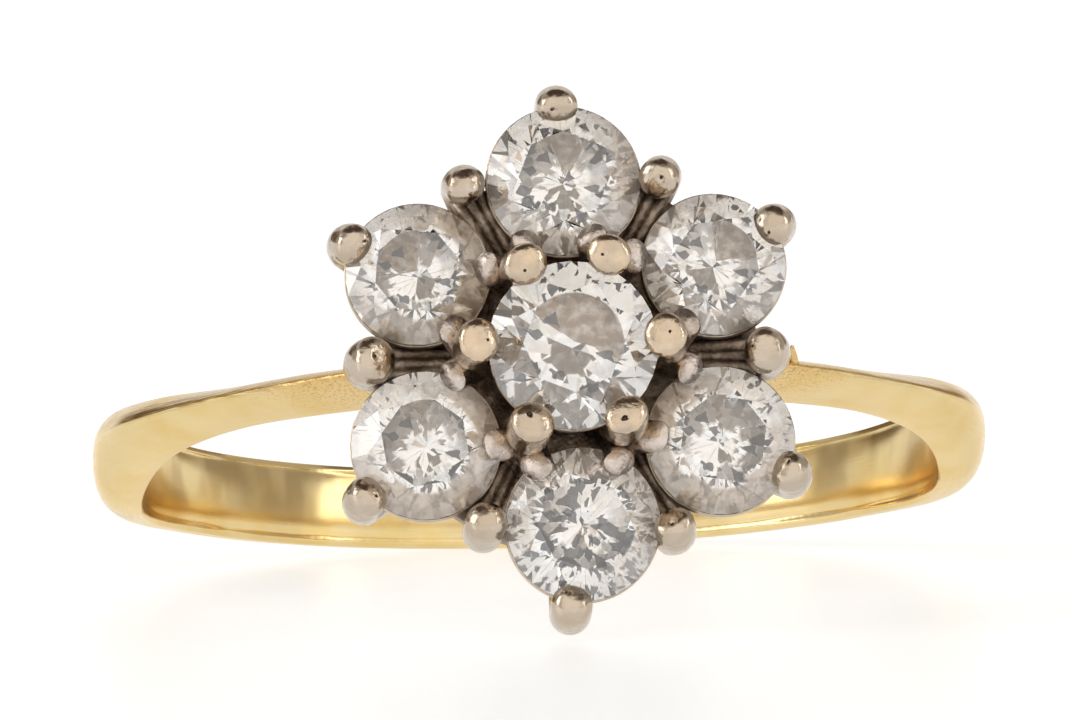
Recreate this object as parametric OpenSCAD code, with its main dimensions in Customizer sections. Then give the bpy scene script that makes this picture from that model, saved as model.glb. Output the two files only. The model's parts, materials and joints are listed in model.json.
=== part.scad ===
// Cluster ring: a raised centre stone and six outer stones in one claw setting, on a plain shank.
// Lengths are in millimetres and angles in degrees. The ring lies on its side as it would by
// itself, on the lowest claw and on the back of the shank. +Z is up, the stones face -Y, +X is
// to the right of somebody who looks at the stones, and the origin is under the ring's middle.
// Each piece is made in the ring's own frame and then laid down. In that frame the finger axis is
// Z. Places in the head are given by an angle and a distance from the head's axis, and by a height
// from the finger axis.

/* [Shank] */
// Radius of the finger hole
finger_r = 8.5; // [7.8:0.1:9.5]
// Width of the shank at the back
back_w = 1.76; // [1.6:0.02:2]
// Width of the shank at the sides
side_w = 2.08; // [1.8:0.02:2.2]
// Thickness of the shank at the back
back_t = 1.14; // [1:0.02:1.4]
// Width of the shoulders near the setting
shoulder_w = 0.9; // [0.8:0.02:1.2]
// Thickness of the shoulders near the setting
shoulder_t = 2.05; // [1.6:0.05:2.3]
// How far the shoulders sit above the shank's mid-plane
shoulder_lift = 0.26; // [0:0.02:0.3]

/* [Stones] */
// Diameter of the centre stone
centre_d = 3.48; // [3.2:0.02:3.56]
// Height of the centre stone's girdle above the finger hole
centre_rise = 5.9; // [5.7:0.1:6.3]
// Height of the outer stones' girdles above the finger hole
outer_rise = 4.5; // [4.4:0.1:4.8]
// Outward tilt of the outer stones
outer_tilt = 4; // [0:1:8]
// Width of a stone's table as a share of its diameter
table_share = 0.6; // [0.54:0.01:0.63]
// Slope of the main crown facets
crown_angle = 34; // [31:0.5:36]
// Slope of the main pavilion facets
pavilion_angle = 41; // [40:0.5:42]
// Thickness of a girdle as a share of the diameter
girdle_share = 0.036; // [0.03:0.002:0.05]

/* [Setting] */
// Radius of the claw tips
claw_r = 0.44; // [0.36:0.02:0.46]
// Radius of the small claws beside the centre claws
small_claw_r = 0.27; // [0.22:0.01:0.3]
// Radius of the stems at their lower ends
stem_r = 0.34; // [0.28:0.02:0.4]
// Height of the gallery ring's middle above the finger hole
gallery_rise = 1.75; // [1.65:0.05:1.9]
// Distance of the gallery ring from the head's axis
gallery_r = 3.05; // [2.9:0.05:3.2]
// Gap between a stone and the metal that holds it
stone_gap = 0.03; // [0.02:0.01:0.05]
// Gap between the shoulders and the setting
solder_gap = 0.02; // [0.02:0.01:0.05]

/* [Hidden] */
// The outer stones and their claws, clockwise from the top as seen from the front. They are set by
// hand, so each lies a little off the regular place.
ANGLE = 0;          // of the stone, round the head
DISTANCE = 1;       // of the stone, from the head's axis
DIAMETER = 2;       // of the stone
OUTER_CLAW = 3;     // angle and distance of the claw outside the stone
SHARED_CLAW = 4;    // angle and distance of the claw between this stone and the next
CENTRE_CLAW = 5;    // angle and distance of the centre stone's claw in the same gap
OUTER = [
    [  90,   3.65, 3.15, [  91,   5.25], [  61.5, 4.15], [  66.5, 1.95]],
    [  31,   3.55, 2.95, [  31.5, 5.05], [  -0.5, 4.05], [   2,   1.90]],
    [ -31,   3.55, 3.05, [ -29.5, 5.15], [ -61,   4.20], [ -57.5, 1.90]],
    [ -87.5, 3.50, 3.15, [ -91.5, 5.20], [-118,   3.95], [-119,   1.95]],
    [-149.5, 3.50, 3.05, [-146.5, 5.15], [-179.5, 4.10], [ 178.5, 2.00]],
    [ 150,   3.55, 2.95, [ 151,   5.05], [ 120,   4.15], [ 121,   1.90]],
];

// The shank's sections, by their angle from the head to the back. Sharpness runs from a round
// outside at 0 to a knife edge at 1.
FROM_HEAD = 0;
WIDTH = 1;
THICKNESS = 2;
LIFT = 3;
SHARPNESS = 4;
mid_w = (side_w + 2 * shoulder_w) / 3;
rear_w = (side_w + 2 * back_w) / 3;
SECTIONS = [
    [  0, shoulder_w, shoulder_t,        shoulder_lift,       1.0],
    [ 20, shoulder_w, shoulder_t,        shoulder_lift,       1.0],
    [ 34, shoulder_w, 0.75 * shoulder_t, shoulder_lift,       1.0],
    [ 50, shoulder_w, 0.62 * shoulder_t, 0.9 * shoulder_lift, 0.9],
    [ 68, mid_w,      1.06 * back_t,     0.8 * shoulder_lift, 0.6],
    [ 91, side_w,     back_t,            0,                   0.1],
    [125, rear_w,     back_t,            0,                   0],
    [180, back_w,     back_t,            0,                   0],
];
dome_power = 2.6;
section_count = 96;
outside_points = 13;
rim_t = 0.16;
bore_stock = 0.25;

// Heights in the head, from the finger axis
centre_h = finger_r + centre_rise;
outer_h = finger_r + outer_rise;
gallery_h = finger_r + gallery_rise;
outer_tip_h = outer_h - 0.06;
shared_tip_h = outer_h + 0.2;
centre_tip_h = centre_h + 0.44;
small_tip_h = outer_h + 0.44;

// The gallery ring is a flat band. Its underside bears on the shoulders.
gallery_w = 0.74;
gallery_t = 0.7;
bearer_rise = gallery_rise - gallery_t / 2 - solder_gap;

// The claws round the rim bend in at a knee, below and a little outside their tips.
knee_drop = 0.75;
knee_out = 0.12;
knee_r = claw_r - 0.02;

// A centre claw starts on the centre collet, and its two small claws leave it at a fork.
root_r = 1.2;
root_h = gallery_h + 1.1;
bend_h = centre_h - 0.5;
bend_r = claw_r - 0.03;
fork_r = 1.85;
fork_h = outer_h - 0.9;
small_tip_r = 2.47;
small_spread = 10.5;

// A plate joins the collets under the girdles and closes the gaps between the stones.
plate_r = 3.95;
plate_t = 0.5;
plate_h = outer_h - 1.25;

// Round bars tie the shared claws to the centre, and spokes tie the centre to the gallery ring.
bar_r = 0.24;
bar_h = outer_h - 0.8;
bar_end_r = 1.5;

// The room between the shoulders is straight round the gallery ring and widens above it.
room_step = 0.3;
room_flare = 1.9;
room_flare_h = 3;

// The collets are short cones under the girdles.
collet_depth = 1.55;
collet_lip = 0.06;
collet_foot_r = 0.95;
collet_hole_r = 0.55;
centre_collet_depth = 2.3;

// Facet layout of a round brilliant
turn = 22.5;
star_share = 0.5;
lower_half_share = 0.76;

// The knee of the lowest claw and the round of the shank's lower rim carry the ring, so their
// common tangent gives the slope at which it lies.
lowest = OUTER[3][OUTER_CLAW];
knee_depth = (knee_out + lowest[1]) * -sin(lowest[0]);
rim_r = finger_r + back_t / 2;
rim_depth = 0.96 * back_w / 2;
span = rim_r + outer_tip_h - knee_drop;
drop = knee_depth - rim_depth;
lie_tilt = asin(knee_r / norm([span, drop])) + atan2(drop, span);
rest_h = rim_r * sin(lie_tilt) + rim_depth * cos(lie_tilt);

// One of the lower centre claws reaches furthest forward, and the shank's back furthest behind.
foremost = OUTER[3][CENTRE_CLAW];
front = centre_tip_h * cos(lie_tilt) - foremost[1] * sin(foremost[0]) * sin(lie_tilt) + claw_r;
behind = (finger_r + back_t) * cos(lie_tilt);
frame_y = (front - behind) / 2;

// Lays the ring down from its own frame.
module lay_down() {
    translate([0, frame_y, rest_h]) rotate([-lie_tilt, 0, 0]) children();
}

// Turns the head's frame, whose Z runs out from the finger axis, into the ring's.
module on_head() {
    rotate([90, 0, 0]) children();
}

function polar(angle, distance, height) = [distance * cos(angle), distance * sin(angle), height];

// Value of a column at an angle from the head, on a smooth curve through the rows.
function row_after(angle, i = 1) = angle <= SECTIONS[i][FROM_HEAD] ? i : row_after(angle, i + 1);
function slope(i, column) =
    i == 0 || i == len(SECTIONS) - 1 ? 0 :
    (SECTIONS[i + 1][column] - SECTIONS[i - 1][column]) /
    (SECTIONS[i + 1][FROM_HEAD] - SECTIONS[i - 1][FROM_HEAD]);
function hermite(s, low, low_slope, high, high_slope) =
    (1 + 2 * s) * (1 - s) * (1 - s) * low + s * (1 - s) * (1 - s) * low_slope
    + s * s * (3 - 2 * s) * high - s * s * (1 - s) * high_slope;
function section_value(angle, column) =
    let (i = row_after(angle), low = SECTIONS[i - 1], high = SECTIONS[i],
         gap = high[FROM_HEAD] - low[FROM_HEAD])
    hermite((angle - low[FROM_HEAD]) / gap,
            low[column], gap * slope(i - 1, column), high[column], gap * slope(i, column));

// Outline of the shank at an angle round the finger: radius and height of each point, from the
// lower inside corner over the outside to the upper inside corner.
function round_dome(s) = pow(max(1 - pow(abs(s), dome_power), 0), 1 / dome_power);
function dome(s, sharpness) = (1 - sharpness) * round_dome(s) + sharpness * (1 - abs(s));
function section(angle) =
    let (half_w = section_value(angle, WIDTH) / 2,
         t = section_value(angle, THICKNESS),
         lift = section_value(angle, LIFT),
         sharpness = section_value(angle, SHARPNESS),
         inside_r = finger_r - bore_stock)
    concat(
        [[inside_r, lift - half_w]],
        [for (k = [0 : outside_points - 1])
            let (s = -cos(180 * k / (outside_points - 1)))
            [finger_r + rim_t + (t - rim_t) * dome(s, sharpness), lift + s * half_w]],
        [[inside_r, lift + half_w]]
    );

// A closed sweep of the sections round the finger. The head is at -Y.
module shank_blank() {
    per_section = outside_points + 2;
    angles = [for (i = [0 : section_count - 1]) 360 * i / section_count];
    points = [for (a = angles) for (p = section(a <= 180 ? a : 360 - a))
        [p[0] * sin(a), -p[0] * cos(a), p[1]]];
    faces = [for (i = [0 : section_count - 1]) for (k = [0 : per_section - 1])
        let (j = (i + 1) % section_count,
             m = (k + 1) % per_section,
             a = i * per_section + k,
             b = i * per_section + m,
             c = j * per_section + m,
             d = j * per_section + k)
        each [[a, b, c], [a, c, d]]];
    polyhedron(points, faces);
}

// Room for the setting between the shoulders, its gap included.
module head_room() {
    room_r = gallery_r + gallery_w / 2 + solder_gap;
    on_head() translate([0, 0, finger_r + bearer_rise]) {
        cylinder(h = room_step + room_flare_h, r = room_r, $fn = 64);
        translate([0, 0, room_step])
            cylinder(h = room_flare_h, r1 = room_r, r2 = room_r + room_flare, $fn = 64);
    }
}

module shank() {
    color([0.87, 0.71, 0.40]) lay_down() difference() {
        shank_blank();
        cylinder(h = 4 * back_w, r = finger_r, center = true, $fn = 128);
        head_room();
    }
}

// Sizes of a brilliant of diameter d. Its girdle's middle is at height 0.
function girdle_top(d) = girdle_share * d / 2;
function table_r(d) = table_share * d / 2;
function table_h(d) = girdle_top(d) + (d / 2 - table_r(d)) * tan(crown_angle);
function star_r(d) =
    let (edge_r = table_r(d) * cos(turn)) edge_r + star_share * (d / 2 - edge_r);
function star_h(d) = girdle_top(d) + (d / 2 - star_r(d) * cos(turn)) * tan(crown_angle);
function half_r(d) = (1 - lower_half_share) * d / 2;
function half_h(d) = -girdle_top(d) - (d / 2 - half_r(d) * cos(turn)) * tan(pavilion_angle);
function culet_h(d) = -girdle_top(d) - d / 2 * tan(pavilion_angle);

// Height that a girdle facet's plane has halfway along the girdle, where it cuts a scallop.
function scallop(d, inner_r, rise) =
    rise * d / 2 * (cos(turn / 2) - 1) / (cos(turn / 2) * (d / 2 - inner_r));

function ring_of(count, r, heights, start = 0) =
    [for (i = [0 : count - 1])
        polar(start + 360 * i / count, r, heights[i % len(heights)])];

// A round brilliant: table, 8 stars, 8 kites and 16 upper halves above the girdle, 16 lower
// halves and 8 mains below it.
module brilliant(d) {
    top = girdle_top(d);
    upper_dip = scallop(d, star_r(d), star_h(d) - top);
    lower_dip = scallop(d, half_r(d), -top - half_h(d));
    upper = [top, top + upper_dip];
    lower = [-top, -top - lower_dip];
    points = concat(
        ring_of(8, table_r(d), [table_h(d)]),
        ring_of(8, star_r(d), [star_h(d)], turn),
        ring_of(32, d / 2, upper),
        ring_of(32, d / 2, lower),
        ring_of(8, half_r(d), [half_h(d)], turn),
        [[0, 0, culet_h(d)]]
    );
    table = 0;
    star = 8;
    above = 16;
    below = 48;
    half = 80;
    culet = 88;
    faces = concat(
        [[for (i = [7 : -1 : 0]) table + i]],
        [for (i = [0 : 7]) let (n = (i + 1) % 8, p = (i + 7) % 8) each [
            [table + i, table + n, star + i],
            [table + i, star + i, above + 4 * i, star + p],
            [star + i, above + 4 * i + 2, above + 4 * i + 1, above + 4 * i],
            [star + i, above + (4 * i + 4) % 32, above + 4 * i + 3, above + 4 * i + 2],
            [half + i, below + 4 * i, below + 4 * i + 1, below + 4 * i + 2],
            [half + i, below + 4 * i + 2, below + 4 * i + 3, below + (4 * i + 4) % 32],
            [culet, half + p, below + 4 * i, half + i],
        ]],
        [for (i = [0 : 31]) let (n = (i + 1) % 32)
            [above + i, above + n, below + n, below + i]]
    );
    polyhedron(points, faces);
}

// Room for a stone of diameter d, round and a gap wider than the stone all over.
module stone_room(d) {
    g = stone_gap;
    rotate_extrude($fn = 32) polygon([
        [0, culet_h(d) - 2 * g],
        [half_r(d) + g, half_h(d) - g],
        [d / 2 + g, -girdle_top(d) - g],
        [d / 2 + g, girdle_top(d) + g],
        [star_r(d) + g, star_h(d) + g],
        [table_r(d) + g, table_h(d) + g],
        [0, table_h(d) + g],
    ]);
}

module at_outer_stone(i) {
    rotate([0, 0, OUTER[i][ANGLE]])
        translate([OUTER[i][DISTANCE], 0, outer_h])
            rotate([0, outer_tilt, 0]) children();
}

module at_centre_stone() {
    translate([0, 0, centre_h]) children();
}

// A wire along a path, whose places each have a radius of their own.
module wire(path) {
    for (i = [0 : len(path) - 2]) hull() {
        for (p = [path[i], path[i + 1]]) translate(p[0]) sphere(r = p[1], $fn = 10);
    }
}

// A claw from the gallery ring up past the girdle, with its tip bent in over the stone.
module rim_claw(place, tip_h) {
    wire([
        [polar(place[0], gallery_r, gallery_h), stem_r],
        [polar(place[0], place[1] + knee_out, tip_h - knee_drop), knee_r],
        [polar(place[0], place[1], tip_h), claw_r],
    ]);
}

// A centre claw with its two small claws, one over each neighbouring outer stone.
module centre_claw(place) {
    wire([
        [polar(place[0], root_r, root_h), stem_r],
        [polar(place[0], place[1], bend_h), bend_r],
        [polar(place[0], place[1], centre_tip_h), claw_r],
    ]);
    for (side = [-1, 1]) wire([
        [polar(place[0], fork_r, fork_h), stem_r],
        [polar(place[0] + side * small_spread, small_tip_r, small_tip_h), small_claw_r],
    ]);
}

// A bar from a shared claw to the centre claw in the same gap, and the spoke under it.
module tie(shared, centre) {
    wire([
        [polar(shared[0], shared[1], bar_h), bar_r],
        [polar(centre[0], bar_end_r, bar_h), bar_r],
    ]);
    wire([
        [polar(centre[0], root_r, root_h), bar_r],
        [polar(shared[0], gallery_r, gallery_h), bar_r],
    ]);
}

module collet(d, depth) {
    translate([0, 0, -depth])
        cylinder(h = depth - girdle_top(d), r1 = collet_foot_r, r2 = d / 2 + collet_lip, $fn = 28);
}

module gallery_ring() {
    translate([0, 0, gallery_h]) rotate_extrude($fn = 40) translate([gallery_r, 0])
        square([gallery_w, gallery_t], center = true);
}

module plate() {
    translate([0, 0, plate_h]) cylinder(h = plate_t, r = plate_r, $fn = 48);
}

// A stone's room and the hole that lets light in under it.
module bearing(d, depth) {
    stone_room(d);
    translate([0, 0, -2 * depth]) cylinder(h = 2 * depth, r = collet_hole_r, $fn = 16);
}

module setting() {
    color([0.74, 0.68, 0.62]) lay_down() on_head() difference() {
        union() {
            gallery_ring();
            plate();
            for (row = OUTER) {
                rim_claw(row[OUTER_CLAW], outer_tip_h);
                rim_claw(row[SHARED_CLAW], shared_tip_h);
                centre_claw(row[CENTRE_CLAW]);
                tie(row[SHARED_CLAW], row[CENTRE_CLAW]);
            }
            for (i = [0 : 5]) at_outer_stone(i) collet(OUTER[i][DIAMETER], collet_depth);
            at_centre_stone() collet(centre_d, centre_collet_depth);
        }
        for (i = [0 : 5]) at_outer_stone(i) bearing(OUTER[i][DIAMETER], collet_depth);
        at_centre_stone() bearing(centre_d, centre_collet_depth);
    }
}

module centre_stone() {
    color([0.88, 0.87, 0.85]) lay_down() on_head() at_centre_stone() brilliant(centre_d);
}

module outer_stone(i) {
    color([0.86, 0.85, 0.83]) lay_down() on_head() at_outer_stone(i) brilliant(OUTER[i][DIAMETER]);
}

shank();
setting();
centre_stone();
outer_stone(0);  // outer_stone_1
outer_stone(1);  // outer_stone_2
outer_stone(2);  // outer_stone_3
outer_stone(3);  // outer_stone_4
outer_stone(4);  // outer_stone_5
outer_stone(5);  // outer_stone_6
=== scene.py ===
# %% [markdown]
# # A cluster ring in yellow and white gold
# This lesson dresses a ring that was first built as exact solids. The solids give the size and the
# place of every piece. The cells below give each piece its finish, and the metal its finer shape.

# %% Load the ring's solids
import json
import math

import bmesh
import bpy
from mathutils import Matrix, Vector


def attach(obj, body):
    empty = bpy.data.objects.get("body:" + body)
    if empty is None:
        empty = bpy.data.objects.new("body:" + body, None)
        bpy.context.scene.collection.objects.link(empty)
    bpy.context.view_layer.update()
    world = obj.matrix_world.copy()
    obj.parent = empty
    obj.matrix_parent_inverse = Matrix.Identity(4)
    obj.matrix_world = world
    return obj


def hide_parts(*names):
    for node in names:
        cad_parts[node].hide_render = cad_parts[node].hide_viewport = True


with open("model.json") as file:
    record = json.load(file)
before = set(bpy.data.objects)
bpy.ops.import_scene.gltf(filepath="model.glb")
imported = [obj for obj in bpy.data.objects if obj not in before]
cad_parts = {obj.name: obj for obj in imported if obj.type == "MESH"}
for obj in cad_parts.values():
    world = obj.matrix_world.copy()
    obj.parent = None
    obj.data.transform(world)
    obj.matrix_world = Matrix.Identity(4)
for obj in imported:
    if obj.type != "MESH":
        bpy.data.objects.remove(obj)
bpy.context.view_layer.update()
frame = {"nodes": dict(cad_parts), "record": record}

print("solids:", sorted(frame["nodes"]))

# %% [markdown]
# ## The ring's own frame
# The ring lies on its side, so nothing in it is square to the room. It is far easier to build each
# piece square in the ring's own frame and then to turn it into the room. The finger hole says how:
# it has a middle, an axis and a radius. In the ring's frame the finger axis is Z, the head is at
# -Y, and a unit is a millimetre. The head has its own frame, in which the stones face along Z.

# %% Find the finger hole and turn it into a matrix
MILLIMETRE = 0.001
hole = next(m for m in frame["record"]["mounts"] if m["name"] == "finger_hole")
FINGER_R = hole["dims"]["r_mm"]
finger_axis = Vector(hole["axis"]).normalized()
across = Vector((1, 0, 0))
away_from_head = finger_axis.cross(across)
ring_frame = Matrix((across, away_from_head, finger_axis)).transposed().to_4x4()
RING_TO_ROOM = Matrix.Translation(hole["pos_m"]) @ ring_frame @ Matrix.Scale(MILLIMETRE, 4)
HEAD_TO_ROOM = RING_TO_ROOM @ Matrix.Rotation(math.radians(90), 4, "X")
lie_tilt = math.degrees(math.acos(finger_axis.z))
print(f"the ring leans {lie_tilt:.2f} degrees off flat, finger hole {2 * FINGER_R} mm")

# %% [markdown]
# ## Sizes
# A maker would note a few heights above the finger hole and the place of every stone and claw.
# One stone and its claws could be turned round the head six times, but that looks machine-made. The
# stones were set by hand, so each has a row of its own, a little off the regular place.

# %% Heights over the finger axis, the outer stones' tilt in degrees, the centre stone's diameter
CENTRE_H = FINGER_R + 5.9
OUTER_H = FINGER_R + 4.5
GALLERY_H = FINGER_R + 1.75
OUTER_TILT = 4
CENTRE_D = 3.48
print(f"the centre stone stands {CENTRE_H - OUTER_H:.1f} mm above the others")

# %% Stones and claws, clockwise from the top, as angles and distances round the head
ANGLE, DISTANCE, DIAMETER, OUTER_CLAW, SHARED_CLAW, CENTRE_CLAW = range(6)
OUTER = [
    (90, 3.65, 3.15, (91, 5.25), (61.5, 4.15), (66.5, 1.95)),
    (31, 3.55, 2.95, (31.5, 5.05), (-0.5, 4.05), (2, 1.90)),
    (-31, 3.55, 3.05, (-29.5, 5.15), (-61, 4.20), (-57.5, 1.90)),
    (-87.5, 3.50, 3.15, (-91.5, 5.20), (-118, 3.95), (-119, 1.95)),
    (-149.5, 3.50, 3.05, (-146.5, 5.15), (-179.5, 4.10), (178.5, 2.00)),
    (150, 3.55, 2.95, (151, 5.05), (120, 4.15), (121, 1.90)),
]


def polar(angle, distance, height):
    """A place in the head: an angle round its axis, a distance from it and a height."""
    a = math.radians(angle)
    return Vector((distance * math.cos(a), distance * math.sin(a), height))


def mix(low, high, share):
    """Low where share is 0, high where it is 1."""
    return low + (high - low) * share


print(len(OUTER), "outer stones, each with an outer, a shared and a centre claw")

# %% [markdown]
# ## The camera
# The photograph was taken with a long lens from almost straight in front. Such a lens keeps the
# front and the back of the ring at nearly one scale. The camera here stands in the same direction,
# just above the floor that the ring lies on.

# %% Make the camera
CAMERA_AIM = Vector((0.073, 3.080, 4.808)) * MILLIMETRE
CAMERA_DISTANCE = 250.58 * MILLIMETRE
CAMERA_AZIMUTH = -3.052
CAMERA_ELEVATION = 4.085
CAMERA_ROLL = -1.252
LENS, SENSOR_WIDTH = 386.33, 36
NEAREST = 10 * MILLIMETRE


def from_ring(azimuth, elevation):
    """A direction from the ring. Azimuth 0 is straight in front and grows to the right."""
    a, e = math.radians(azimuth), math.radians(elevation)
    return Vector((math.sin(a) * math.cos(e), -math.cos(a) * math.cos(e), math.sin(e)))


def add_object(name, data):
    """Adds an object of data to the scene, at the origin."""
    thing = bpy.data.objects.new(name, data)
    bpy.context.scene.collection.objects.link(thing)
    return thing


camera_back = from_ring(CAMERA_AZIMUTH, CAMERA_ELEVATION)
camera = add_object("camera", bpy.data.cameras.new("camera"))
camera.data.lens = LENS
camera.data.sensor_width = SENSOR_WIDTH
camera.data.clip_start = NEAREST
camera.location = CAMERA_AIM + camera_back * CAMERA_DISTANCE
level = (-camera_back).to_track_quat("-Z", "Y").to_matrix().to_4x4()
turned = level @ Matrix.Rotation(math.radians(CAMERA_ROLL), 4, "Z")
camera.rotation_euler = turned.to_euler()
bpy.context.scene.camera = camera
print("camera at", [round(c / MILLIMETRE, 1) for c in camera.location], "mm")

# %% [markdown]
# ## Building with bmesh
# Every metal piece starts as a bmesh in millimetres. It could be made an object first and moved and
# scaled as one, but then a pattern on Object coordinates would slide and stretch with it. So one
# helper moves the bmesh into the room and makes an object of it, which itself stays at the origin.
# Cups, seats and rings start as a profile that is turned once round, as on a lathe.


# %% Helpers that turn a bmesh into a piece
def as_mesh(bm, name):
    """A mesh of bm, which is freed."""
    mesh = bpy.data.meshes.new(name)
    bm.to_mesh(mesh)
    bm.free()
    return mesh


def finish_piece(bm, name, matrix, materials):
    """Makes a smooth object of bm, in the room's metres, riding on the ring."""
    bmesh.ops.transform(bm, matrix=matrix, verts=bm.verts)
    bmesh.ops.recalc_face_normals(bm, faces=bm.faces)
    mesh = as_mesh(bm, name)
    for material in materials:
        mesh.materials.append(material)
    mesh.shade_smooth()
    piece = add_object(name, mesh)
    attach(piece, "root")
    print(f"{name}: {len(mesh.polygons)} faces")
    return piece


def spin_profile(bm, points, steps):
    """Turns a closed profile of radius and height round Z and returns the new vertices."""
    before = set(bm.verts)
    verts = [bm.verts.new((r, 0, h)) for r, h in points]
    edges = [bm.edges.new((a, b)) for a, b in zip(verts, verts[1:] + verts[:1])]
    bmesh.ops.spin(
        bm, geom=verts + edges, cent=(0, 0, 0), axis=(0, 0, 1),
        angle=2 * math.pi, steps=steps, use_merge=True,
    )
    return [v for v in bm.verts if v not in before]


def add_part(bm, part):
    """Adds the bmesh part to bm and frees it."""
    mesh = as_mesh(part, "part")
    bm.from_mesh(mesh)
    bpy.data.meshes.remove(mesh)


# %% [markdown]
# ## Materials
# Polished metal has hardly a colour of its own: it shows the room. What makes it look real is what
# breaks the mirror: fine wear, shallow waves from the file, and tarnish where no cloth reaches.
# The patterns read Object coordinates, which a Mapping node turns into the ring's or the head's own
# millimetres, so a place or a width below can be measured on the ring.

# %% Helpers for node trees
def new_material(name):
    """A material with its node tree and its shader."""
    material = bpy.data.materials.new(name)
    material.use_nodes = True
    return material, material.node_tree, material.node_tree.nodes["Principled BSDF"]


def feed(tree, socket, value):
    """Links value to the socket if it is a socket too, and otherwise sets it there."""
    if isinstance(value, bpy.types.NodeSocket):
        tree.links.new(value, socket)
    else:
        socket.default_value = value


def add_node(tree, kind, settings=(), inputs=()):
    """Adds a node, sets its properties, and fills its inputs with values or links."""
    node = tree.nodes.new(kind)
    for name, value in dict(settings).items():
        setattr(node, name, value)
    for name, value in dict(inputs).items():
        feed(tree, node.inputs[name], value)
    return node


def coordinates(tree, to_room):
    """The place of a shaded point in the frame whose matrix into the room is to_room."""
    back = to_room.inverted()
    place = add_node(tree, "ShaderNodeTexCoord").outputs["Object"]
    return add_node(tree, "ShaderNodeMapping", inputs={
        "Vector": place,
        "Location": back.translation,
        "Rotation": back.to_3x3().normalized().to_euler(),
        "Scale": (back.median_scale,) * 3,
    }).outputs["Vector"]


def noise(tree, place, scale, detail=3, stretch=None):
    """Soft noise in 0 to 1. scale is in patches per millimetre."""
    if stretch:
        place = add_node(
            tree, "ShaderNodeMapping", inputs={"Vector": place, "Scale": stretch}
        ).outputs["Vector"]
    return add_node(
        tree, "ShaderNodeTexNoise", inputs={"Vector": place, "Scale": scale, "Detail": detail}
    ).outputs["Fac"]


def remap(tree, value, low, high, to_low=0.0, to_high=1.0):
    """Value stretched from low..high to to_low..to_high, with soft ends."""
    return add_node(tree, "ShaderNodeMapRange", {"interpolation_type": "SMOOTHSTEP"}, {
        "Value": value, "From Min": low, "From Max": high, "To Min": to_low, "To Max": to_high,
    }).outputs["Result"]


# %% Helpers for sums and colours
# A Mix node has sockets for every kind of value, and these are the ones for colours
SHARE_IN, FIRST_IN, SECOND_IN, COLOUR_OUT = 0, 6, 7, 2


def maths(tree, operation, a, b=0.0):
    """A sum or function of one or two sockets or numbers."""
    node = add_node(tree, "ShaderNodeMath", {"operation": operation})
    for socket, value in zip(node.inputs, (a, b)):
        feed(tree, socket, value)
    return node.outputs[0]


def product(tree, value, *others):
    """All values multiplied, in their order."""
    for other in others:
        value = maths(tree, "MULTIPLY", value, other)
    return value


def total(tree, value, *others):
    """All values added up, in their order."""
    for other in others:
        value = maths(tree, "ADD", value, other)
    return value


def length(tree, x, y):
    """How far the place x, y lies from the axis."""
    return maths(tree, "SQRT", total(tree, product(tree, x, x), product(tree, y, y)))


def split(tree, vector):
    """The X, Y and Z of a vector."""
    return add_node(tree, "ShaderNodeSeparateXYZ", inputs={"Vector": vector}).outputs


def join(tree, x, y, z=0.0):
    """A vector of X, Y and Z."""
    sides = {"X": x, "Y": y, "Z": z}
    return add_node(tree, "ShaderNodeCombineXYZ", inputs=sides).outputs["Vector"]


def blend_colours(tree, share, first, second):
    """First where share is 0 and second where it is 1, each a socket or three numbers."""
    node = add_node(tree, "ShaderNodeMix", {"data_type": "RGBA"}, {SHARE_IN: share})
    for i, colour in ((FIRST_IN, first), (SECOND_IN, second)):
        is_socket = isinstance(colour, bpy.types.NodeSocket)
        feed(tree, node.inputs[i], colour if is_socket else (*colour, 1))
    return node.outputs[COLOUR_OUT]


def dress_metal(tree, shader, colour, roughness, relief, depth):
    """Makes the shader a metal, with a relief of a depth in millimetres."""
    tree.links.new(colour, shader.inputs["Base Color"])
    tree.links.new(roughness, shader.inputs["Roughness"])
    shader.inputs["Metallic"].default_value = 1
    bump = add_node(
        tree, "ShaderNodeBump", inputs={"Height": relief, "Distance": depth * MILLIMETRE}
    )
    tree.links.new(bump.outputs["Normal"], shader.inputs["Normal"])
    print(f"a metal of {len(tree.nodes)} nodes, with a relief of {depth} mm")


# %% [markdown]
# ### Yellow gold
# The shank is worn 18 carat gold. The file, the solder and years of wear have each left marks in a
# place of their own, and dark reflections are painted on the crest and in the bore. They could be
# painted on by hand, but a mask that is worked out from the place follows the band wherever it goes.
# A mask is 0 where a mark is absent and 1 where it is full.

# %% Where a point lies on the band
# From the finger axis, along Y towards the head, up along Z, and along X from left to right
BORE_SKIN = (FINGER_R + 0.03, FINGER_R + 0.12)
OUTER_SKIN = (FINGER_R + 0.5, FINGER_R + 0.9)
HEAD_NEARS = (-6.8, -9.2)
SHOULDER_STARTS = (-2.5, -4.5)
BELOW_CREST, ABOVE_CREST = (0.2, 0.3), (0.62, 0.48)
# The crest mask carries the painted dark reflection on the crest. It is full on the left shoulder and
# half as strong on the right, where that reflection is lighter
LEFT_TO_RIGHT, RIGHT_CREST = (-2, 2), 0.5

yellow_gold, tree, shader = new_material("worn_yellow_gold")
place = coordinates(tree, RING_TO_ROOM)
x, y, z = split(tree, place)
from_axis = length(tree, x, y)
along_band = product(tree, maths(tree, "ARCTAN2", x, y), FINGER_R)
on_band = join(tree, along_band, from_axis, z)
in_bore = remap(tree, from_axis, *BORE_SKIN, 1, 0)
near_head = remap(tree, y, *HEAD_NEARS)
on_crest = product(
    tree, remap(tree, z, *BELOW_CREST), remap(tree, z, *ABOVE_CREST),
    remap(tree, from_axis, *OUTER_SKIN), remap(tree, y, *SHOULDER_STARTS),
    remap(tree, x, *LEFT_TO_RIGHT, 1.0, RIGHT_CREST),
)
print("masks for the bore, the joint and the crest in", len(tree.nodes), "nodes")
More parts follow.
